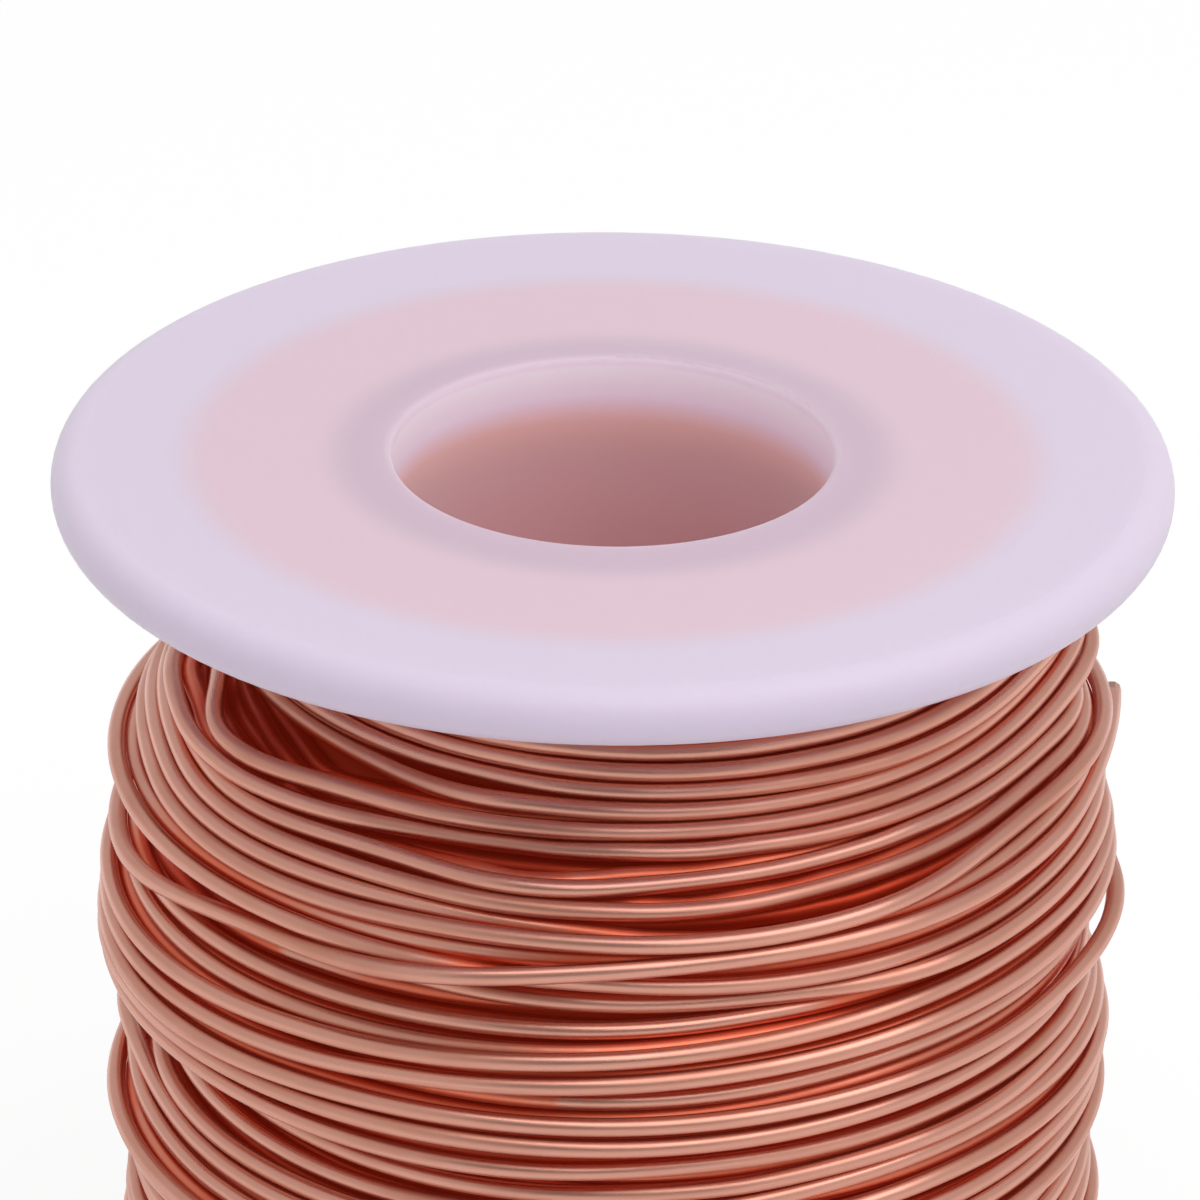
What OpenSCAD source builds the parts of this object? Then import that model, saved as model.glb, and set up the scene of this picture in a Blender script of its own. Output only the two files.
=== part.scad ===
// Wire spool: two moulded halves joined inside the barrel, wound with bare copper wire.
// Millimetres, +Z up along the bore. The origin is the centre of the lower flange's flat face.
// The winding is one wire: its inner layers are one plain solid, its outer layer is a true tube.

/* [Spool] */
// Diameter over the flanges
flange_d = 60; // [56:1:90]
// Height over both flanges
spool_h = 60; // [54:1:90]
// Diameter of the bore that the spindle passes through
bore_d = 23.6; // [16:0.1:30]
// Thickness of the barrel's wall
barrel_wall = 2.6; // [1.8:0.1:3.4]
// Thickness of each flange at its rounded rim
rim_t = 3.2; // [2:0.1:4]
// Thickness of each flange beside the barrel
root_t = 3.4; // [2.4:0.1:4.4]
// Radius that rounds the mouth at each end of the bore
mouth_r = 0.4; // [0.2:0.1:1.5]
// Fillet between barrel and flange, on the wire side
root_fillet = 0.8; // [0.4:0.1:1.4]

/* [Barrel joint] */
// Length of the upper half's spigot
spigot_l = 6; // [3:0.5:10]
// Thickness of the spigot, which lines the bore
spigot_t = 1.2; // [0.8:0.1:1.4]
// Radial clearance between spigot and socket
spigot_gap = 0.05; // [0.02:0.01:0.15]
// Room left under the spigot's end
spigot_relief = 0.2; // [0.1:0.05:0.5]
// Chamfer that leads the spigot in
spigot_lead = 0.4; // [0.1:0.05:0.6]

/* [Wire] */
// Diameter of the bare wire
wire_d = 1.02; // [0.8:0.01:1.3]
// Diameter over the outer layer at the middle of the winding
winding_d = 54; // [48:0.5:55]
// Fall of the winding's radius from its middle to each flange
shoulder_drop = 4.2; // [0:0.1:5]
// Height over which the winding falls away beside each flange
shoulder_l = 13; // [9:0.5:19]
// Clearance between the inner layers and the spool
wrap_gap = 0.05; // [0.02:0.01:0.2]
// Clearance between the outer layer and the layers below it
seat_gap = 0.3; // [0.25:0.01:0.4]

/* [Outer layer] */
// Turns that climb from the lower flange to the upper one
up_turns = 22; // [12:1:22]
// Turns that come back down over them, to the free end
back_turns = 0.5; // [0.5:0.5:1.5]
// Height that the back turns come down in all
back_drop = 12.8; // [4:0.1:40]
// Gap between an end turn and the flange beside it
end_gap = 0.5; // [0.3:0.1:2]
// Gap kept where a back turn crosses the turns below it
cross_gap = 0.5; // [0.45:0.01:0.8]
// Direction of the wire's free end, counted from +X towards +Y, in degrees
tail_angle = 17; // [0:1:350]
// Height that the free end springs away from the winding
tail_lift = 0.5; // [0:0.1:1.5]
// Length of wire that springs away
tail_l = 14; // [8:1:30]
// Depth that the wire's first end lies in the inner layers
dip = 0.2; // [0:0.05:0.4]

/* [Hidden] */
$fn = 96;

flange_r = flange_d / 2;
bore_r = bore_d / 2;
barrel_r = bore_r + barrel_wall;
mid_z = spool_h / 2;
rim_r = rim_t / 2;
root_r = barrel_r + root_fillet;

wire_r = wire_d / 2;
core_r = winding_d / 2 - wire_d - seat_gap;
shoulder_steps = 10;

ring_sides = 6;
rings = 24;
step_a = 360 / rings;
half_turn = rings / 2;
up_rings = up_turns * rings;
back_rings = back_turns * rings;
last_ring = up_rings + half_turn + back_rings;
layer_step = wire_d + cross_gap;
start_a = tail_angle - last_ring * step_a;
pocket_gap = 0.08;
pocket_l = core_r * sin(2 * step_a);

// ---- Spool ----

// Height of the flange's wire side above its flat face, at radius r
function wire_side(r) =
    root_t + (rim_t - root_t) * max(0, r - root_r) / (flange_r - rim_r - root_r);

// Flange section with its flat face at 0: an even taper that ends in a fully rounded rim
module flange_section() {
    polygon([
        [bore_r, 0],
        [flange_r - rim_r, 0],
        [flange_r - rim_r, rim_t],
        [root_r, root_t],
        [bore_r, root_t],
    ]);
    translate([flange_r - rim_r, rim_r]) circle(r = rim_r);
}

// What the rounding takes off the corner where flange and bore meet
module mouth_cut() {
    difference() {
        square(mouth_r);
        translate([mouth_r, mouth_r]) circle(r = mouth_r);
    }
}

// Concave fillet in the corner between barrel and flange
module root_fillet_section() {
    difference() {
        square(root_fillet);
        translate([root_fillet, root_fillet]) circle(r = root_fillet);
    }
}

// Section of one half up to its end at the seam, as if it stood on its flange
module half_section() {
    difference() {
        union() {
            flange_section();
            translate([bore_r, 0]) square([barrel_wall, mid_z]);
            translate([barrel_r, root_t]) root_fillet_section();
        }
        translate([bore_r, 0]) mouth_cut();
    }
}

// Section of the spigot, from inside its own half to its chamfered end
module spigot_section() {
    polygon([
        [bore_r, mid_z - spigot_l],
        [bore_r + spigot_t, mid_z - spigot_l],
        [bore_r + spigot_t, mid_z + spigot_l - spigot_lead],
        [bore_r + spigot_t - spigot_lead, mid_z + spigot_l],
        [bore_r, mid_z + spigot_l],
    ]);
}

// Upper half: drawn standing on its flange, then turned over
module upper_spool_half() {
    color([0.87, 0.81, 0.88])
        translate([0, 0, spool_h])
            rotate([180, 0, 0])
                rotate_extrude()
                    union() {
                        half_section();
                        spigot_section();
                    }
}

// Lower half: its socket takes the upper half's spigot
module lower_spool_half() {
    socket_l = spigot_l + spigot_relief;
    color([0.87, 0.81, 0.88])
        rotate_extrude()
            difference() {
                half_section();
                translate([bore_r - 1, mid_z - socket_l])
                    square([1 + spigot_t + spigot_gap, socket_l + 1]);
            }
}

// ---- Wire ----

// Share of the shoulder that lies between height z and the nearer flange
function shoulder_share(z) = min(1, max(0, mid_z - abs(z - mid_z) - root_t) / shoulder_l);

// Radius of the inner layers at height z: level in the middle, falling away beside the flanges
function core_radius(z) = core_r - shoulder_drop * (1 + cos(180 * shoulder_share(z))) / 2;

// Steepness of the inner layers at height z: none in the middle, most half way down a shoulder
function core_slope(z) = PI / 2 * shoulder_drop / shoulder_l * sin(180 * shoulder_share(z));

// Distance along the radius that keeps a distance d square to the inner layers at height z
function clear_of_slope(d, z) = d * norm([1, core_slope(z)]);

// Half of the inner layers' section, below mid height: it clears barrel, fillet and flange
function core_half_section() =
    let (end_r = core_r - shoulder_drop)
    concat(
        [
            [barrel_r + wrap_gap, root_t + root_fillet + wrap_gap],
            [root_r + wrap_gap, root_t + wrap_gap],
            [end_r, wire_side(end_r) + wrap_gap],
        ],
        [for (i = [1 : shoulder_steps])
            let (z = root_t + shoulder_l * i / shoulder_steps)
            [core_radius(z), z]]
    );

// Mirrors a list of section points in the mid height and reverses their order
function mirrored(points) =
    [for (i = [len(points) - 1 : -1 : 0]) [points[i][0], spool_h - points[i][1]]];

// Inner layers of wire as one solid, with the pocket that the outer layer comes out of
module inner_wire_layers() {
    half = core_half_section();
    pocket_z = wire_d + 2 * pocket_gap;
    color([0.62, 0.3, 0.2])
        difference() {
            rotate_extrude() polygon(concat(half, mirrored(half)));
            rotate(start_a)
                translate([start_r() - wire_r - pocket_gap, -wire_d, first_z - pocket_z / 2])
                    cube([2 * wire_d + seat_gap, wire_d + pocket_l, pocket_z]);
        }
}

// Point at radius r, angle a and height z
function polar(r, a, z) = [r * cos(a), r * sin(a), z];

// Heights of the outer layer's first and highest turns
first_z = wire_side(core_r - shoulder_drop) + end_gap + wire_r;
top_z = spool_h - first_z;

// Radius of a turn that lies on the inner layers at height z
function turn_radius(z) = core_radius(z) + clear_of_slope(wire_r + seat_gap, z);

// Radius of the wire's first end, sunk in its pocket
function start_r() = core_radius(first_z) - dip;

// Height of ring i: an even climb, half a turn at the top, then the way back
function ring_z(i) =
    i <= up_rings ? first_z + (top_z - first_z) * i / up_rings
    : i <= up_rings + half_turn ? top_z
    : top_z - back_drop * (i - up_rings - half_turn) / back_rings;

// Share of the second layer that ring i has climbed
function layer_share(i) = min(1, max(0, (i - up_rings) / half_turn));

// Height that ring i has sprung away from the winding, near the free end
function tail_share(i) =
    let (tail_rings = tail_l / (2 * PI * turn_radius(ring_z(last_ring))) * rings)
    max(0, 1 - (last_ring - i) / tail_rings);

function ring_point(i) =
    let (z = ring_z(i))
    polar(
        turn_radius(z) + clear_of_slope(layer_step, z) * layer_share(i) + tail_lift * pow(tail_share(i), 2),
        start_a + i * step_a,
        z
    );

function unit(v) = v / norm(v);

// Centreline: each end runs straight for one diameter beyond the coil's own rings
function wire_path() =
    let (coil = [for (i = [1 : last_ring]) ring_point(i)])
    let (n = len(coil))
    let (first = polar(start_r(), start_a, first_z))
    concat(
        [first - wire_d * polar(1, start_a + 90, 0), first],
        coil,
        [coil[n - 1] + wire_d * unit(coil[n - 1] - coil[n - 2])]
    );

// Points of the ring round path point i, square to the path there
function ring(path, i) =
    let (n = len(path))
    let (along = unit(path[min(i + 1, n - 1)] - path[max(i - 1, 0)]))
    let (outward = unit([path[i][0], path[i][1], 0]))
    let (up = unit(cross(along, outward)))
    let (out = cross(up, along))
    [for (s = [0 : ring_sides - 1])
        let (a = (s + 0.5) * 360 / ring_sides)
        path[i] + wire_r * (cos(a) * out + sin(a) * up)];

// Triangles between ring i and the next
function band(i) = [
    for (s = [0 : ring_sides - 1])
        let (a = i * ring_sides + s)
        let (b = i * ring_sides + (s + 1) % ring_sides)
        each [[a, b + ring_sides, a + ring_sides], [a, b, b + ring_sides]]
];

// Fan that closes the ring whose first point is number first
function cap(first, flip) = [
    for (s = [1 : ring_sides - 2])
        flip ? [first, first + s + 1, first + s] : [first, first + s, first + s + 1]
];

// Distance from point p to the stretch between a and b
function to_stretch(p, a, b) =
    let (share = min(1, max(0, (p - a) * (b - a) / ((b - a) * (b - a)))))
    norm(p - a - share * (b - a));

// Least gap between turns of the same wire: each point against the stretches one or more turns on
function least_gap(path) =
    min([
        for (i = [0 : len(path) - 1], turn = [1 : up_turns + back_turns + 1], side = [-1, 0, 1])
            let (j = i + turn * rings + side)
            if (j < len(path) - 1)
                to_stretch(path[i], path[j], path[j + 1])
    ]) - wire_d;

// Outer layer: one unbroken tube, whose free end stands clear of the winding
module outer_wire_layer() {
    path = wire_path();
    n = len(path);
    echo(outer_layer_least_gap_to_itself = least_gap(path), turns = last_ring / rings);
    color([0.85, 0.5, 0.37])
        polyhedron(
            points = [for (i = [0 : n - 1]) each ring(path, i)],
            faces = concat(
                cap(0, false),
                [for (i = [0 : n - 2]) each band(i)],
                cap((n - 1) * ring_sides, true)
            )
        );
}

upper_spool_half();
lower_spool_half();
inner_wire_layers();
outer_wire_layer();
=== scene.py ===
"""Dresses the wire spool: milky plastic halves and a scramble-wound coil of bare copper wire.

Lengths are in metres in Blender and in millimetres where a name ends in _mm.
"""

from math import cos, pi, radians, sin

import bpy
import numpy as np
from mathutils import Matrix, Vector


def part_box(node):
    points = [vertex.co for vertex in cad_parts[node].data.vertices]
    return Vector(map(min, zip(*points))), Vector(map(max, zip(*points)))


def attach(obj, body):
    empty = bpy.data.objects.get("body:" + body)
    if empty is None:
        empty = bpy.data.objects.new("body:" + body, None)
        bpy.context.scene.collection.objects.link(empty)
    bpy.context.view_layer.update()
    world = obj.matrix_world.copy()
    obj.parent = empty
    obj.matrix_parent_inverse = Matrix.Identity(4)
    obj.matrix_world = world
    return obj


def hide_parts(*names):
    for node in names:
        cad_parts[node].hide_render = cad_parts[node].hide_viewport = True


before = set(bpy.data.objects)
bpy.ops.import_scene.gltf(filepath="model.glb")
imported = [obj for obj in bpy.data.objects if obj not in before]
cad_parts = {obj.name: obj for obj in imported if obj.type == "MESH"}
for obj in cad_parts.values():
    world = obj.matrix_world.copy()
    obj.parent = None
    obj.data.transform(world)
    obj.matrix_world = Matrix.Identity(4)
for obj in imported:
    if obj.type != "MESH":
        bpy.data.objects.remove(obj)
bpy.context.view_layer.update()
MM = 0.001

# ---- Sizes, from the frame ----

SPOOL_H_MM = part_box("upper_spool_half")[1][2] / MM
BARREL_R_MM = 14.4
FLANGE_T_MM = 3.3
WIRE_D_MM = 1.02
WIRE_R_MM = WIRE_D_MM / 2
WIRE_SIDES = 10
ELEVATION = radians(25.0)  # of the camera, and of the photographer in the studio's reflections

# The photograph's view: a scratch script matched a camera to the flange's outline
FRAME_PX = 1200
PX_PER_MM = 18.744  # at the upper flange's centre
CENTRE_PX = (613.1, 448.6)  # where that centre shows, from the top left
DISTANCE = 0.5
ROLL = radians(0.6)


# ---- Camera ----


def add_camera():
    """The photograph's view: 25 degrees down, from half a metre, framed on the upper half of the spool."""
    view_width = FRAME_PX / PX_PER_MM * MM
    top = Vector((0, 0, SPOOL_H_MM * MM))
    forward = Vector((0, cos(ELEVATION), -sin(ELEVATION)))
    up = Vector((0, sin(ELEVATION), cos(ELEVATION)))
    data = bpy.data.cameras.new("camera")
    data.sensor_fit = "HORIZONTAL"
    data.sensor_width = 36
    data.lens = data.sensor_width * DISTANCE / view_width
    data.clip_start = 0.01
    data.shift_x = -(CENTRE_PX[0] - FRAME_PX / 2) / FRAME_PX
    data.shift_y = -(FRAME_PX / 2 - CENTRE_PX[1]) / FRAME_PX
    camera = bpy.data.objects.new("camera", data)
    camera.matrix_world = Matrix.Translation(top - forward * DISTANCE) @ Matrix(
        ((1, 0, 0), tuple(up), tuple(-forward))
    ).transposed().to_4x4() @ Matrix.Rotation(ROLL, 4, "Z")
    bpy.context.scene.collection.objects.link(camera)
    bpy.context.scene.camera = camera


# ---- Node helpers ----


class Nodes:
    """Short ways to build a material's node tree."""

    def __init__(self, name):
        self.material = bpy.data.materials.new(name)
        self.material.use_nodes = True
        self.tree = self.material.node_tree
        self.tree.nodes.clear()
        self.output = self.add("ShaderNodeOutputMaterial")

    def add(self, kind, inputs=(), **settings):
        node = self.tree.nodes.new(kind)
        for key, value in settings.items():
            setattr(node, key, value)
        for key, value in dict(inputs).items():
            self.put(node.inputs[key], value)
        return node

    def put(self, socket, value):
        if isinstance(value, bpy.types.NodeSocket):
            self.tree.links.new(value, socket)
        else:
            socket.default_value = value

    def math(self, operation, a, b=0.0, c=0.0, clamp=False):
        node = self.add("ShaderNodeMath", operation=operation, use_clamp=clamp)
        for socket, value in zip(node.inputs, (a, b, c)):
            self.put(socket, value)
        return node.outputs[0]

    def mix(self, share, a, b):
        node = self.add("ShaderNodeMix", data_type="RGBA")
        self.put(node.inputs["Factor"], share)
        self.put(node.inputs[6], a)
        self.put(node.inputs[7], b)
        return node.outputs[2]

    def between(self, value, low, high, out_low=0.0, out_high=1.0):
        node = self.add("ShaderNodeMapRange", interpolation_type="SMOOTHSTEP")
        for key, number in (
            ("Value", value),
            ("From Min", low),
            ("From Max", high),
            ("To Min", out_low),
            ("To Max", out_high),
        ):
            self.put(node.inputs[key], number)
        return node.outputs[0]

    def noise(self, vector, scale, detail=2.0, roughness=0.5):
        node = self.add(
            "ShaderNodeTexNoise",
            {"Vector": vector, "Scale": scale, "Detail": detail, "Roughness": roughness},
        )
        return node.outputs["Fac"]

    def radius(self, across, along):
        flat = self.add("ShaderNodeCombineXYZ", {"X": across, "Y": along})
        return self.add("ShaderNodeVectorMath", {0: flat.outputs[0]}, operation="LENGTH").outputs["Value"]

    def surface(self, shader):
        self.tree.links.new(shader.outputs[0], self.output.inputs["Surface"])
        return self.material


# The bore's wall, by its distance in millimetres from the nearer end: painted light, brightest just inside the
# lip, and painted show-through of the copper, pinker further in
BORE_FADE_MM = 16.0
BORE_COLOURS = (
    (0.0, (214, 192, 207)),
    (0.6, (255, 240, 255)),
    (2.2, (255, 235, 249)),
    (3.8, (245, 202, 196)),
    (6.0, (233, 194, 197)),
    (10.0, (232, 188, 192)),
    (16.0, (232, 184, 188)),
)


def linear(red, green, blue):
    """A colour written in 0 to 255 display values, as linear light with alpha."""
    out = []
    for level in (red, green, blue):
        v = level / 255
        out.append(v / 12.92 if v <= 0.04045 else ((v + 0.055) / 1.055) ** 2.4)
    return (*out, 1.0)


# ---- Materials ----


def copper_material():
    n = Nodes("bare_copper")
    uv = n.add("ShaderNodeUVMap", uv_map="along").outputs[0]
    # UV: x is millimetres along the wire, y is the turn round it
    streak_at = n.add("ShaderNodeMapping", {"Vector": uv, "Scale": (0.05, 14.0, 1.0)})
    streaks = n.noise(streak_at.outputs[0], 1.0, 3.0, 0.6)
    patch_at = n.add("ShaderNodeMapping", {"Vector": uv, "Scale": (0.06, 0.8, 1.0)})
    patches = n.noise(patch_at.outputs[0], 1.0, 4.0, 0.6)
    bright = linear(227, 165, 146)
    dull = linear(213, 149, 127)
    colour = n.mix(n.between(patches, 0.42, 0.72), bright, dull)
    # painted shade and painted inter-reflection: the sheltered sides of the wires, and the layers below, are
    # painted deep red
    depth = n.add("ShaderNodeAttribute", attribute_name="depth").outputs["Fac"]
    colour = n.mix(n.between(depth, 0.3, 0.9), colour, linear(228, 121, 91))
    colour = n.mix(n.between(depth, 0.8, 1.6), colour, linear(196, 72, 48))
    # painted glow: emission in the gaps stands in for the light that polished wires pass on to each other many
    # times over, so no gap between them is black
    painted_glow = n.mix(n.between(depth, 0.3, 1.1), (0, 0, 0, 1), (0.035, 0.003, 0.0008, 1))
    streaked = n.between(streaks, 0.3, 0.7, 0.0, 0.06)
    rough = n.math("ADD", streaked, n.between(patches, 0.4, 0.7, 0.25, 0.34))
    rough = n.math("ADD", rough, n.between(depth, 0.4, 1.2, 0.0, 0.1))
    bump = n.add("ShaderNodeBump", {"Strength": 0.25, "Distance": 0.00002, "Height": streaks})
    # drawn wire is scored along its length, which spreads a highlight across it and not along it
    scored = n.add("ShaderNodeTangent", direction_type="RADIAL", axis="Z")
    shader = n.add(
        "ShaderNodeBsdfPrincipled",
        {
            "Base Color": colour,
            "Metallic": 1.0,
            "Roughness": rough,
            "Anisotropic": 0.7,
            "Anisotropic Rotation": 0.25,
            "Emission Color": painted_glow,
            "Emission Strength": 1.0,
            "Normal": bump.outputs[0],
            "Tangent": scored.outputs[0],
        },
    )
    return n.surface(shader)


def plastic_material():
    """Milky plastic with painted show-through of the copper: pink over the coil, greyer over the barrel's
    wall, and painted light and a painted glow in the bore.
    """
    n = Nodes("milky_plastic")
    place = n.add("ShaderNodeTexCoord").outputs["Object"]
    xyz = n.add("ShaderNodeSeparateXYZ", {"Vector": place})
    across, along, height = xyz.outputs
    radius = n.radius(across, along)
    # painted show-through: what shows through the flange looks raised, so it lies a little towards the
    # viewer's side
    raised = n.radius(across, n.math("ADD", along, 0.6 * MM))
    colour = n.mix(n.between(raised, 0.0212, 0.0242), linear(227, 200, 213), linear(223, 211, 229))
    # painted show-through: greyer where the barrel's wall lies under the flange
    colour = n.mix(n.between(raised, 0.0136, 0.0162), linear(211, 188, 204), colour)
    # the bore's wall has copper behind it, below the flange, which shows as painted show-through
    wall = n.between(radius, 0.01195, 0.01205, 1.0, 0.0)
    middle = SPOOL_H_MM * MM / 2
    depth = n.math("SUBTRACT", middle, n.math("ABSOLUTE", n.math("SUBTRACT", height, middle)))
    ramp = n.add("ShaderNodeValToRGB")
    n.put(ramp.inputs[0], n.math("DIVIDE", depth, BORE_FADE_MM * MM, clamp=True))
    elements = ramp.color_ramp.elements
    while len(elements) < len(BORE_COLOURS):
        elements.new(0.5)
    for element, (at, rgb) in zip(elements, BORE_COLOURS):
        element.position = at / BORE_FADE_MM
        element.color = linear(*rgb)
    colour = n.mix(wall, colour, ramp.outputs[0])
    # painted glow: light scatters down into the wall from the bright face above it
    near_end = n.math("MULTIPLY", wall, n.between(depth, 0.0015, 0.0055, 1.0, 0.0))
    near_end = n.math("MULTIPLY", near_end, n.between(depth, 0.0, 0.0012))
    painted_glow = n.mix(near_end, (0, 0, 0, 1), (0.09, 0.055, 0.08, 1))
    grain = n.noise(place, 900.0, 2.0)
    bump = n.add("ShaderNodeBump", {"Strength": 0.1, "Distance": 0.00003, "Height": grain})
    shader = n.add(
        "ShaderNodeBsdfPrincipled",
        {
            "Base Color": colour,
            "Roughness": 0.42,
            "Specular IOR Level": 0.3,
            "Subsurface Weight": 1.0,
            "Subsurface Radius": (1.0, 0.85, 0.95),
            "Subsurface Scale": 0.002,
            "Emission Color": painted_glow,
            "Emission Strength": 1.0,
            "Normal": bump.outputs[0],
        },
    )
    return n.surface(shader)


# ---- Winding ----

STEPS = 180  # samples per turn
STEP = 2 * pi / STEPS
LAG = 26  # samples whose shape still waits for what follows them
LOW_Z_MM = FLANGE_T_MM + 0.15 + WIRE_R_MM
HIGH_Z_MM = SPOOL_H_MM - LOW_Z_MM

# Radius over the last full pass, against the distance below the upper flange's flat face. These pairs
# and LEAN_MM began as the outline measured in the photograph. A fitting script, which isn't handed in,
# then moved them until the winding's outline met the photograph's, and some were changed by hand.
FULL_PASS_MM = (
    (3.3, 21.6), (8, 21.6), (10, 21.4), (11.5, 21.9), (13, 22.9), (14, 24.1), (15, 25.4), (17, 27.1),
    (20, 26.4), (24, 27.4), (28, 26.9), (30, 25.5), (32, 24.9), (33.6, 25.2), (36, 26.2), (38.3, 26.1),
    (44, 26.6), (48, 25.8), (51, 24.5), (53, 23.5), (56.7, 22.6),
)
PASSES_BELOW = 4
LAYER_MM = 1.12  # that one pass adds to the radius

# How far the coil leans to +X, against the same distance: it isn't wound quite true
LEAN_MM = (
    (9, 1.7), (11.5, 1.6), (13, 0.0), (15, -0.3), (17.5, 0.6), (19.8, 0.7), (21.5, 0.1), (23, 0.2), (26, -0.4),
    (28.5, -0.9), (31, 1.1), (33.5, 2.0), (35, 1.0), (37, 0.0), (39, -0.3), (42, 0.2), (44, 0.5), (51, 0.0),
)
DOWN, PASS_RADIUS = np.array(FULL_PASS_MM).T
DRUM_RADIUS = PASS_RADIUS - PASSES_BELOW * LAYER_MM
LEAN_DOWN, LEAN = np.array(LEAN_MM).T
SIDE = np.cos(np.arange(STEPS) * STEP)


def drum_radius(z_mm, plane):
    """Radius of the plain layers below the wound passes."""
    down = SPOOL_H_MM - z_mm
    return np.interp(down, DOWN, DRUM_RADIUS) + SIDE[plane] * np.interp(down, LEAN_DOWN, LEAN)


class Pile:
    """Where the wires laid so far cross each of the half planes through the axis."""

    def __init__(self):
        self.z = [np.empty(0) for _ in range(STEPS)]
        self.r = [np.empty(0) for _ in range(STEPS)]

    def rest_radius(self, plane, z):
        """Least radius at which a wire's centre can lie at height z."""
        lowest = drum_radius(z, plane) + WIRE_R_MM
        apart = self.z[plane] - z
        near = np.abs(apart) < WIRE_D_MM
        if near.any():
            over = self.r[plane][near] + np.sqrt(WIRE_D_MM**2 - apart[near] ** 2)
            lowest = max(lowest, over.max())
        return lowest

    def tilt(self, plane, z, reach):
        """Slope of the pile over twice the reach, less the slope of the drum below it."""
        up = self.rest_radius(plane, z + reach) - drum_radius(z + reach, plane)
        down = self.rest_radius(plane, z - reach) - drum_radius(z - reach, plane)
        return (up - down) / (2 * reach)

    def add(self, first, z, r):
        for i in range(len(z)):
            plane = (first + i) % STEPS
            self.z[plane] = np.append(self.z[plane], z[i])
            self.r[plane] = np.append(self.r[plane], r[i])


def wander(count, period, size, random):
    """Smooth noise: random values every period samples, joined by a Catmull-Rom curve."""
    knots = random.normal(0, 1, int(count / period) + 4)
    at = np.arange(count) / period
    i = at.astype(int)
    f = at - i
    a, b, c, d = knots[i], knots[i + 1], knots[i + 2], knots[i + 3]
    square = (2 * a - 5 * b + 4 * c - d) * f**2
    cube = (3 * b - a - 3 * c + d) * f**3
    return size * 0.5 * (2 * b + (c - a) * f + square + cube)


def taut(r, reach):
    """Lifts a wire off its supports where a straight chord passes above them."""
    inverse = 1 / r
    best = inverse.copy()
    for width in range(2, reach + 1):
        start, end = inverse[:-width], inverse[width:]
        for m in range(1, width):
            chord = (start * sin((width - m) * STEP) + end * sin(m * STEP)) / sin(width * STEP)
            part = best[m : len(r) - width + m]
            np.minimum(part, chord, out=part)
    return 1 / best


def soften(values, sigma):
    """Gaussian blur with the ends held."""
    reach = int(3 * sigma)
    x = np.arange(-reach, reach + 1)
    weights = np.exp(-0.5 * (x / sigma) ** 2)
    padded = np.concatenate([np.full(reach, values[0]), values, np.full(reach, values[-1])])
    return np.convolve(padded, weights / weights.sum(), mode="valid")


def stiff(need):
    """Radii of a stiff, taut wire: it bridges hollows, and bends gently over what it rests on."""
    pulled = soften(taut(need, 14), 3.5)
    short = np.pad(np.maximum(need - pulled, 0), 3, mode="edge")
    lift = np.max([short[k : k + len(need)] for k in range(7)], axis=0)
    return pulled + soften(lift, 2.0)


# How a wire moves over the pile as it is laid, found by trial
PULL = 12.0  # towards its guide
EASE = 14.0  # damping
SLIP = 20.0  # off a crest, into the groove beside it
LEVEL = 5.0  # down the pile's wider slope
FRICTION = 0.15  # slope on which a wire stays
CREST_REACH_MM = 0.06
SLOPE_REACH_MM = 1.3
FIRM_PULL = 140  # added where a wire is held to its guide
FIRM_EASE = 10


def settle(pile, guide, firm, first_plane, now, slope):
    """Heights of one stretch: it follows the guide, but slips off crests into the grooves between wires.

    Where firm is 1 it stays on the guide.
    """
    lead = np.gradient(guide) / STEP
    z = np.empty(len(guide))
    for i in range(len(guide)):
        plane = (first_plane + i) % STEPS
        tilt = pile.tilt(plane, now, CREST_REACH_MM)
        tilt = np.sign(tilt) * min(max(abs(tilt) - FRICTION, 0), 1.0)
        fall = pile.tilt(plane, now, SLOPE_REACH_MM)
        drag = (EASE + FIRM_EASE * firm[i]) * (slope - firm[i] * lead[i])
        towards = (PULL + FIRM_PULL * firm[i]) * (guide[i] - now) - drag
        slope += STEP * (towards - (1 - firm[i]) * (SLIP * tilt + LEVEL * fall))
        now = min(max(now + slope * STEP, LOW_Z_MM), HIGH_Z_MM)
        z[i] = now
    return z, now, slope


def lay(pile, guide, firm, loose, first_plane, z_start):
    """Winds one pass, just under a turn at a time, and returns its heights and radii."""
    z, need, r = np.empty(0), np.empty(0), np.empty(len(guide))
    now, slope, laid = z_start, 0.0, 0
    block = STEPS - LAG
    for begin in range(0, len(guide), block):
        part = slice(begin, begin + block)
        plane = (first_plane + begin) % STEPS
        new, now, slope = settle(pile, guide[part], firm[part], plane, now, slope)
        z = np.concatenate([z, new])
        rests = [pile.rest_radius((plane + i) % STEPS, h) for i, h in enumerate(new)]
        need = np.concatenate([need, rests])
        ready = len(z) if len(z) == len(guide) else len(z) - LAG
        start = max(0, laid - LAG)
        r[laid:ready] = stiff(need[start:])[laid - start : ready - start] + loose[laid:ready]
        pile.add(first_plane + laid, z[laid:ready], r[laid:ready])
        laid = ready
    return z, r


def bump(at, centre, half_width):
    """Smooth hill of height 1 round centre."""
    share = np.clip(np.abs(at - centre) / half_width, 0, 1)
    return 0.5 * (1 + np.cos(pi * share))


def through(points, at):
    """Smooth curve past (turn, height) points, evaluated at the turns in at."""
    turn, height = np.array(points).T
    return soften(np.interp(at, turn, height), 5)


WANDER_PERIOD = 150
WANDER_MM = 0.7
HIDDEN_WANDER_MM = 0.3  # over the passes that lie under the last two
HOLD = 0.4  # how firmly a turn of known height keeps to it


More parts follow.
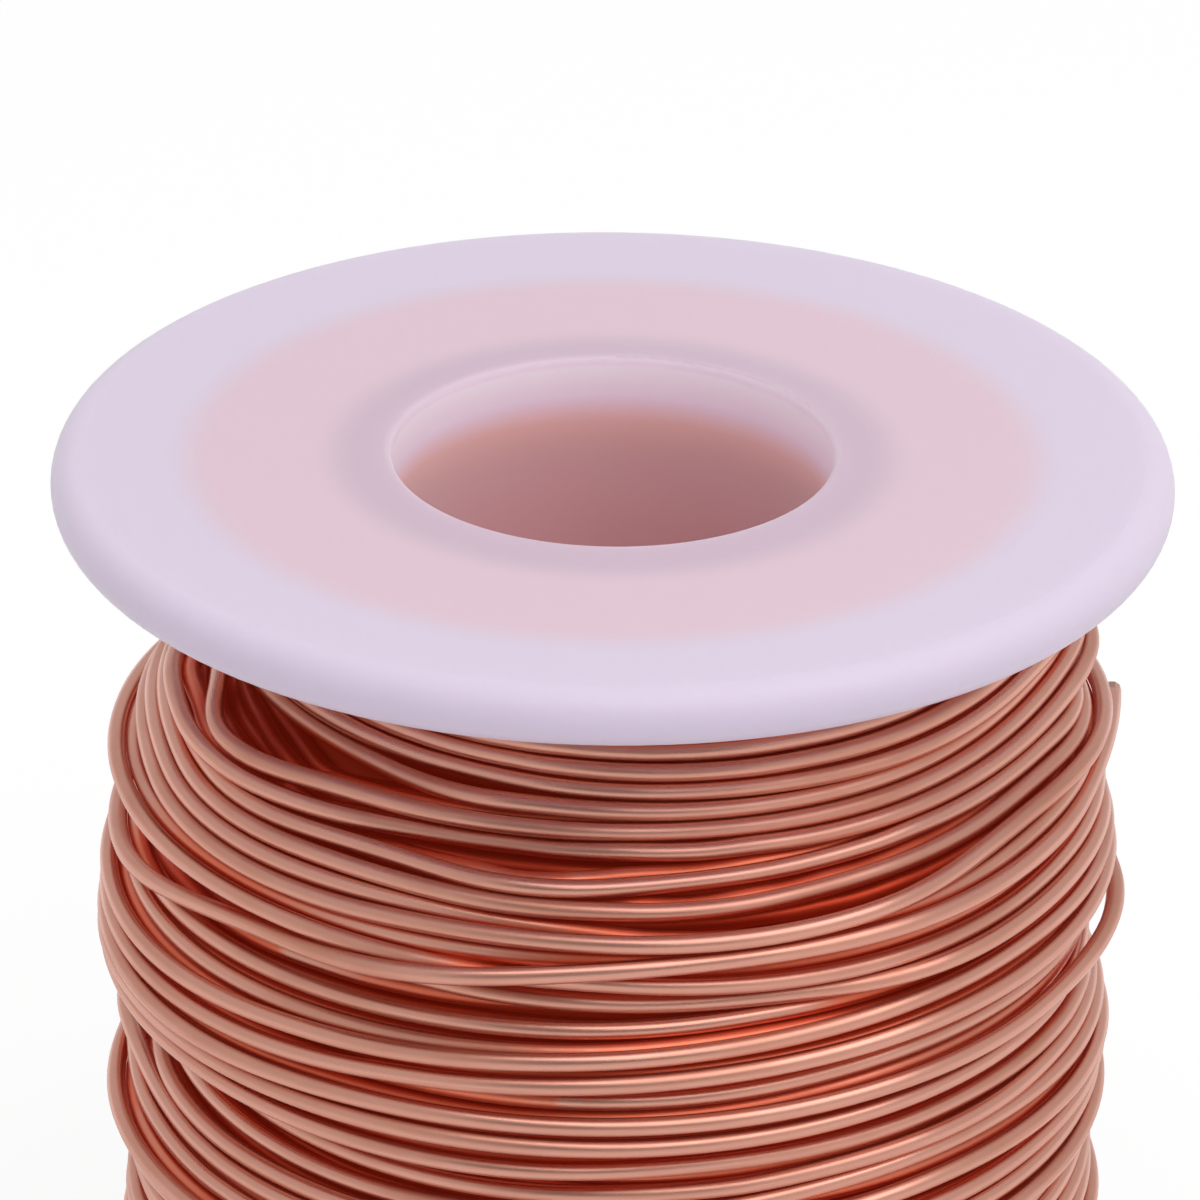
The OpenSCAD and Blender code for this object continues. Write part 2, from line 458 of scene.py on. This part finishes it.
def full_pass(start, goal, pitch, random):
    """Guide from one end of the spool to the other, wandering as the hand that leads the wire does.

    The pitch is measured along the pile's outline, so that its steep parts are covered too.
    """
    heights = np.linspace(start, goal, 400)
    radii = np.interp(SPOOL_H_MM - heights, DOWN, PASS_RADIUS)
    path = np.cumsum(np.hypot(np.gradient(heights), np.gradient(radii)))
    count = round(path[-1] / pitch) * STEPS
    line = np.interp(np.linspace(0, path[-1], count), path, heights)
    line += wander(count, WANDER_PERIOD, HIDDEN_WANDER_MM, random)
    return line, np.zeros(count), np.zeros(count)


# Heights in millimetres at which the outer turns cross six bearings, from left to right over the front.
# Each goes on round the back to the left end of the next one. The first seven downward rows are spaced
# evenly, about 0.9 mm apart, and the next two are set loosely after the photograph. The others were read
# by eye off the unrolled photograph and converted to heights by a script, which isn't handed in. Three
# are as it printed them, and the rest were then changed by hand.
BEARINGS = (-155, -130, -105, -80, -55, -30)
DOWNWARD_TURNS = (
    (52.4, 51.2, 51.2, 51.1, 51.0, 51.4),
    (51.5, 50.3, 50.2, 50.2, 50.1, 50.5),
    (50.6, 49.4, 49.3, 49.3, 49.2, 49.6),
    (49.7, 48.5, 48.4, 48.4, 48.3, 48.7),
    (48.8, 47.6, 47.4, 47.4, 47.4, 47.9),
    (47.9, 46.8, 46.5, 46.5, 46.5, 46.9),
    (47.0, 46.0, 45.6, 45.6, 45.6, 46.0),
    (46.1, 45.0, 44.6, 43.9, 43.6, 44.2),
    (45.2, 44.0, 44.2, 44.7, 44.8, 45.1),
    (42.6, 42.7, 42.1, 41.2, 41.1, 41.4),
    (40.8, 40.9, 40.1, 40.0, 40.5, 40.8),
    (38.2, 38.5, 38.6, 38.9, 39.2, 39.4),
    (36.9, 37.2, 37.4, 38.0, 38.3, 38.2),
    (35.8, 36.2, 36.2, 36.6, 37.1, 37.1),
    (34.7, 34.9, 34.7, 34.9, 35.6, 35.4),
    (33.6, 33.8, 33.5, 33.8, 34.5, 34.4),
    (32.5, 32.7, 32.4, 32.4, 32.5, 32.2),
    (31.2, 31.1, 31.0, 31.1, 31.1, 30.8),
)
UPWARD_TURNS = (
    (22.2, 22.4, 22.6, 22.8, 22.8, 22.8),
    (23.3, 23.4, 23.7, 23.8, 23.9, 24.1),
    (24.3, 24.4, 24.7, 24.9, 25.0, 25.3),
    (25.4, 25.4, 25.7, 26.3, 26.7, 27.1),
    (26.6, 26.4, 26.8, 27.7, 28.5, 28.3),
    (28.7, 28.3, 28.3, 28.9, 29.2, 29.2),
    (31.4, 30.6, 30.4, 30.3, 30.3, 30.3),
    (32.4, 32.5, 32.3, 32.5, 32.6, 32.5),
    (33.5, 33.6, 33.6, 33.8, 34.1, 34.0),
    (34.6, 35.0, 36.1, 36.8, 37.1, 37.4),
    (35.9, 36.7, 37.5, 38.1, 38.5, 38.8),
)


def crossings(rows, end):
    """(turn, height) points of the rows, the last of which ends in turn number end."""
    points = []
    for row, heights in enumerate(rows):
        turn = end - len(rows) + 1 + row
        points += [(turn + bearing / 360, height) for bearing, height in zip(BEARINGS, heights)]
    return points


def known_pass(points, known_from, known_to, random):
    """Guide through (turn, height) points, which wanders outside the known turns and round the back."""
    first, last = points[0][0], points[-1][0]
    count = round((last - first) * STEPS)
    turn = first + np.arange(count) / STEPS
    known = np.clip((turn - known_from) * 2, 0, 1) * np.clip((known_to - turn) * 2, 0, 1)
    behind = np.clip(np.sin(2 * pi * turn), 0, 1)
    free = 1 - known + 0.5 * known * behind
    line = through(points, turn) + free * wander(count, WANDER_PERIOD, WANDER_MM, random)
    return turn, line, HOLD * known * (1 - behind)


DOWNWARD_COUNT = 44  # turns in the last pass but one, which starts and ends beside +X
FIRST_DOWNWARD = -DOWNWARD_COUNT + 4  # the turn of its first row


def downward_pass(random):
    end = FIRST_DOWNWARD + len(DOWNWARD_TURNS) - 1
    points = [(-DOWNWARD_COUNT, 55.6), (-DOWNWARD_COUNT + 2.5, 52.8)]
    points += crossings(DOWNWARD_TURNS, end) + [(end + 1, 29.0), (0.0, 4.6)]
    _, line, firm = known_pass(points, FIRST_DOWNWARD - 0.5, end, random)
    return line, firm, np.zeros(len(line))


# The last pass climbs from the lower flange and ends in the free tail, beside +X.
# Turns are counted back from the end.
TAIL_TURN = 14.5 / 360
CROSSING_TURN = (
    (-0.5, 38.3), (-0.45, 38.6), (-0.41, 39.6), (-0.375, 40.8), (-0.34, 41.6), (-0.31, 41.9), (-0.26, 42.7),
    (-0.2, 43.5), (-0.1, 43.4), (0.0, 43.1), (TAIL_TURN, 43.0),
)


def last_pass(random):
    points = [(-27.0, 4.6), (-12.5, 21.4)] + crossings(UPWARD_TURNS, -1) + list(CROSSING_TURN)
    turn, line, firm = known_pass(points, -12.0, TAIL_TURN + 1, random)
    firm = np.maximum(firm, np.clip((turn + 0.64) / 0.14, 0, 1))
    loose = 2.1 * np.clip((turn - TAIL_TURN + 0.09) / 0.09, 0, 1) ** 2
    loose += 0.9 * bump(turn, -3.0, 0.09)
    return line, firm, loose


SEED = 11  # chosen among five; the two fitted lists suit this one only
HIDDEN_PASSES = ((4.6, 55.4, 1.20), (55.4, 4.6, 1.22), (4.6, 55.6, 1.22))  # start, end and pitch, in mm


def wind():
    """Lays the five passes, and returns the first plane, heights and radii of each."""
    random = np.random.default_rng(SEED)
    pile = Pile()
    passes = [full_pass(*hidden, random) for hidden in HIDDEN_PASSES]
    passes += [downward_pass(random), last_pass(random)]
    turns = sum(len(guide) for guide, _, _ in passes)
    plane = round(TAIL_TURN * STEPS - turns) % STEPS
    now = passes[0][0][0]
    laid = []
    for guide, firm, loose in passes:
        z, r = lay(pile, guide, firm, loose, plane, now)
        laid.append((plane, z, r))
        plane, now = (plane + len(z)) % STEPS, z[-1]
    return laid, Envelope(pile)


class Envelope:
    """The coil's outer surface, with the grooves closed, for telling how deep a point lies."""

    SPACING_MM = 0.1
    REACH = 7  # samples; grooves up to twice as wide are closed

    def __init__(self, pile):
        self.heights = np.arange(0, SPOOL_H_MM, self.SPACING_MM)
        self.radius = np.array([self.outline(pile, plane) for plane in range(STEPS)])

    def outline(self, pile, plane):
        apart = self.heights[:, None] - pile.z[plane][None]
        top = np.sqrt(np.clip(WIRE_R_MM**2 - apart**2, 0, None))
        surface = np.where(np.abs(apart) < WIRE_R_MM, pile.r[plane][None] + top, 0).max(axis=1)
        surface = np.maximum(surface, drum_radius(self.heights, plane))
        return soften(self.spread(self.spread(surface, np.max), np.min), 3)

    def spread(self, values, pick):
        """The highest or lowest value within reach of each one."""
        padded = np.pad(values, self.REACH, mode="edge")
        return pick([padded[k : k + len(values)] for k in range(2 * self.REACH + 1)], axis=0)

    def depth(self, plane, points):
        """How far each (radius, height) point lies below the surface in its plane."""
        row = self.radius[plane % STEPS]
        return np.interp(points[:, 1], self.heights, row) - points[:, 0]


def rings(points, radius, sides):
    """Corners of a ring square to the line round each of its points."""
    along = np.gradient(points, axis=0)
    along /= np.linalg.norm(along, axis=1)[:, None]
    outward = points.copy()
    outward[:, 2] = 0
    outward -= (outward * along).sum(1)[:, None] * along
    outward /= np.linalg.norm(outward, axis=1)[:, None]
    side = np.cross(along, outward)
    angles = np.arange(sides) * 2 * pi / sides
    ring = np.cos(angles)[None, :, None] * outward[:, None] + np.sin(angles)[None, :, None] * side[:, None]
    return (points[:, None] + radius * ring).reshape(-1, 3)


def store_uvs(mesh, points, sides, along_start):
    """UVs in millimetres along the wire and turns round it. The two end caps have none."""
    links = len(points) - 1
    steps = np.linalg.norm(np.diff(points, axis=0), axis=1)
    length = along_start + np.concatenate([[0], np.cumsum(steps)]) / MM
    step = np.repeat(np.arange(links), sides)
    turn = np.tile(np.arange(sides), links) / sides
    uvs = np.zeros((links * sides, 4, 2))
    for corner, (ahead, beside) in enumerate(((0, 0), (0, 1), (1, 1), (1, 0))):
        uvs[:, corner, 0] = length[step + ahead]
        uvs[:, corner, 1] = turn + beside / sides
    flat = np.zeros((links * sides * 4 + 2 * sides, 2))
    flat[: links * sides * 4] = uvs.reshape(-1, 2)
    mesh.uv_layers.new(name="along").data.foreach_set("uv", flat.ravel())


def add_piece(name, mesh):
    piece = bpy.data.objects.new(name, mesh)
    bpy.context.scene.collection.objects.link(piece)
    return piece


def tube(name, points, radius, sides, along_start=0.0):
    """A closed tube round a line of points."""
    points = np.asarray(points)
    count = len(points)
    k = np.arange(count - 1)[:, None] * sides
    s = np.arange(sides)[None]
    t = (s + 1) % sides
    faces = np.stack([k + s, k + t, k + t + sides, k + s + sides], -1).reshape(-1, 4).tolist()
    quads = len(faces)
    faces.append(list(range(sides))[::-1])
    faces.append(list(range((count - 1) * sides, count * sides)))
    mesh = bpy.data.meshes.new(name)
    mesh.from_pydata(rings(points, radius, sides).tolist(), [], faces)
    store_uvs(mesh, points, sides, along_start)
    mesh.polygons.foreach_set("use_smooth", [True] * quads + [False] * 2)
    mesh.update()
    return add_piece(name, mesh)


def wire_pieces():
    """One tube for each pass. Their ends don't meet: the wire is broken for 0.7 to 1.1 mm between two."""
    laid, envelope = wind()
    pieces = []
    length = 0.0
    for number, (plane, z, r) in enumerate(laid):
        angle = (plane + np.arange(len(z))) * STEP
        points = np.stack([r * np.cos(angle), r * np.sin(angle), z], 1) * MM
        piece = tube(f"wound_wire_{number + 1}", points, WIRE_R_MM * MM, WIRE_SIDES, length)
        store_depth(piece, envelope, plane, len(z))
        length += np.linalg.norm(np.diff(points, axis=0), axis=1).sum() / MM
        pieces.append(piece)
    return pieces


def store_depth(piece, envelope, plane, count):
    """Stores how far below the coil's surface each vertex lies, in millimetres."""
    co = np.empty(len(piece.data.vertices) * 3)
    piece.data.vertices.foreach_get("co", co)
    co = co.reshape(count, -1, 3) / MM
    spots = np.stack([np.hypot(co[..., 0], co[..., 1]), co[..., 2]], -1)
    depth = np.concatenate([envelope.depth(plane + i, spots[i]) for i in range(count)])
    # the depth sets the copper's painted shade and painted glow
    layer = piece.data.attributes.new("depth", "FLOAT", "POINT")
    layer.data.foreach_set("value", depth)


def drum():
    """The plain layers below the wound passes, as one closed ring."""
    low, high = FLANGE_T_MM + 0.1, SPOOL_H_MM - FLANGE_T_MM - 0.1
    levels = np.linspace(low, high, 110)
    heights = np.concatenate([[high, low], levels])
    verts, faces = [], []
    for plane in range(STEPS):
        radii = np.concatenate([[BARREL_R_MM + 0.1] * 2, drum_radius(levels, plane) - 0.05])
        ring = np.stack([radii * cos(plane * STEP), radii * sin(plane * STEP), heights], 1) * MM
        verts += ring.tolist()
    count = len(heights)
    for plane in range(STEPS):
        here, there = plane * count, (plane + 1) % STEPS * count
        for i in range(count):
            j = (i + 1) % count
            faces.append((here + i, here + j, there + j, there + i))
    mesh = bpy.data.meshes.new("deep_layers")
    mesh.from_pydata(verts, [], faces)
    mesh.polygons.foreach_set("use_smooth", [True] * len(faces))
    # the deepest depth gives these layers the copper's darkest painted shade
    layer = mesh.attributes.new("depth", "FLOAT", "POINT")
    layer.data.foreach_set("value", [PASSES_BELOW * LAYER_MM] * len(verts))
    return add_piece("deep_layers", mesh)


# ---- Studio ----


def add_floor():
    """White to the camera, and a plain surface to the light that falls on the spool."""
    n = Nodes("studio_floor")
    path = n.add("ShaderNodeLightPath")
    place = n.add("ShaderNodeSeparateXYZ", {"Vector": n.add("ShaderNodeTexCoord").outputs["Object"]})
    # metal shows the white floor behind the spool, and the floor in front of it less brightly
    behind = n.between(place.outputs["Y"], -0.1, 0.2, 0.3, 1.0)
    mirrored = n.math("MULTIPLY", path.outputs["Is Glossy Ray"], behind)
    seen = n.math("ADD", path.outputs["Is Camera Ray"], mirrored)
    seen = n.math("ADD", seen, path.outputs["Is Transmission Ray"], clamp=True)
    lit = n.add("ShaderNodeBsdfDiffuse", {"Color": (0.86, 0.86, 0.86, 1)})
    white = n.add("ShaderNodeEmission", {"Color": (1, 1, 1, 1), "Strength": 1.06})
    mixed = n.add("ShaderNodeMixShader", {0: n.math("MULTIPLY", seen, 0.8)})
    n.tree.links.new(lit.outputs[0], mixed.inputs[1])
    n.tree.links.new(white.outputs[0], mixed.inputs[2])
    material = n.surface(mixed)
    mesh = bpy.data.meshes.new("studio_floor")
    size = 4.0
    corners = [(-size, -size, 0), (size, -size, 0), (size, size, 0), (-size, size, 0)]
    mesh.from_pydata(corners, [], [(0, 1, 2, 3)])
    floor = add_piece("studio_floor", mesh)
    floor.data.materials.append(material)


def add_room():
    """White to the camera, and soft light from all round."""
    world = bpy.data.worlds.new("studio")
    bpy.context.scene.world = world
    world.use_nodes = True
    tree = world.node_tree
    tree.nodes.clear()
    out = tree.nodes.new("ShaderNodeOutputWorld")
    background = tree.nodes.new("ShaderNodeBackground")
    path = tree.nodes.new("ShaderNodeLightPath")
    camera = tree.nodes.new("ShaderNodeMath")
    camera.operation = "MAXIMUM"
    tree.links.new(path.outputs["Is Camera Ray"], camera.inputs[0])
    tree.links.new(path.outputs["Is Transmission Ray"], camera.inputs[1])
    # the room is a little darker where the photographer stands
    place = tree.nodes.new("ShaderNodeTexCoord")
    towards = tree.nodes.new("ShaderNodeVectorMath")
    towards.operation = "DOT_PRODUCT"
    towards.inputs[1].default_value = (0, -cos(ELEVATION), sin(ELEVATION))
    tree.links.new(place.outputs["Generated"], towards.inputs[0])
    room = tree.nodes.new("ShaderNodeMapRange")
    room.interpolation_type = "SMOOTHSTEP"
    for key, value in (("From Min", 0.8), ("From Max", 0.96), ("To Min", 0.64), ("To Max", 0.2)):
        room.inputs[key].default_value = value
    tree.links.new(towards.outputs["Value"], room.inputs["Value"])
    strength = tree.nodes.new("ShaderNodeMix")
    tree.links.new(camera.outputs[0], strength.inputs["Factor"])
    tree.links.new(room.outputs[0], strength.inputs[2])
    strength.inputs[3].default_value = 1.0
    tree.links.new(strength.outputs[0], background.inputs["Strength"])
    background.inputs["Color"].default_value = (1, 1, 1, 1)
    tree.links.new(background.outputs[0], out.inputs[0])


def add_softbox():
    place = Vector((0.155, -0.2, 0.53))
    data = bpy.data.lights.new("softbox_top", "AREA")
    data.shape = "RECTANGLE"
    data.size = 0.64
    data.size_y = 0.58
    data.energy = 1.77
    lamp = bpy.data.objects.new("softbox_top", data)
    lamp.location = place
    aim = Vector((0, 0, SPOOL_H_MM * MM * 0.7)) - place
    lamp.rotation_euler = aim.to_track_quat("-Z", "Y").to_euler()
    bpy.context.scene.collection.objects.link(lamp)


# ---- Assembly ----

add_camera()
scene = bpy.context.scene
scene.view_settings.view_transform = "Standard"
add_floor()
add_room()
add_softbox()

plastic = plastic_material()
copper = copper_material()

for node in ("upper_spool_half", "lower_spool_half"):
    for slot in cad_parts[node].material_slots:
        slot.material = plastic

wires = wire_pieces()
deep = drum()
for piece in (*wires, deep):
    piece.data.materials.append(copper)
    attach(piece, "root")
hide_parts("inner_wire_layers")
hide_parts("outer_wire_layer")
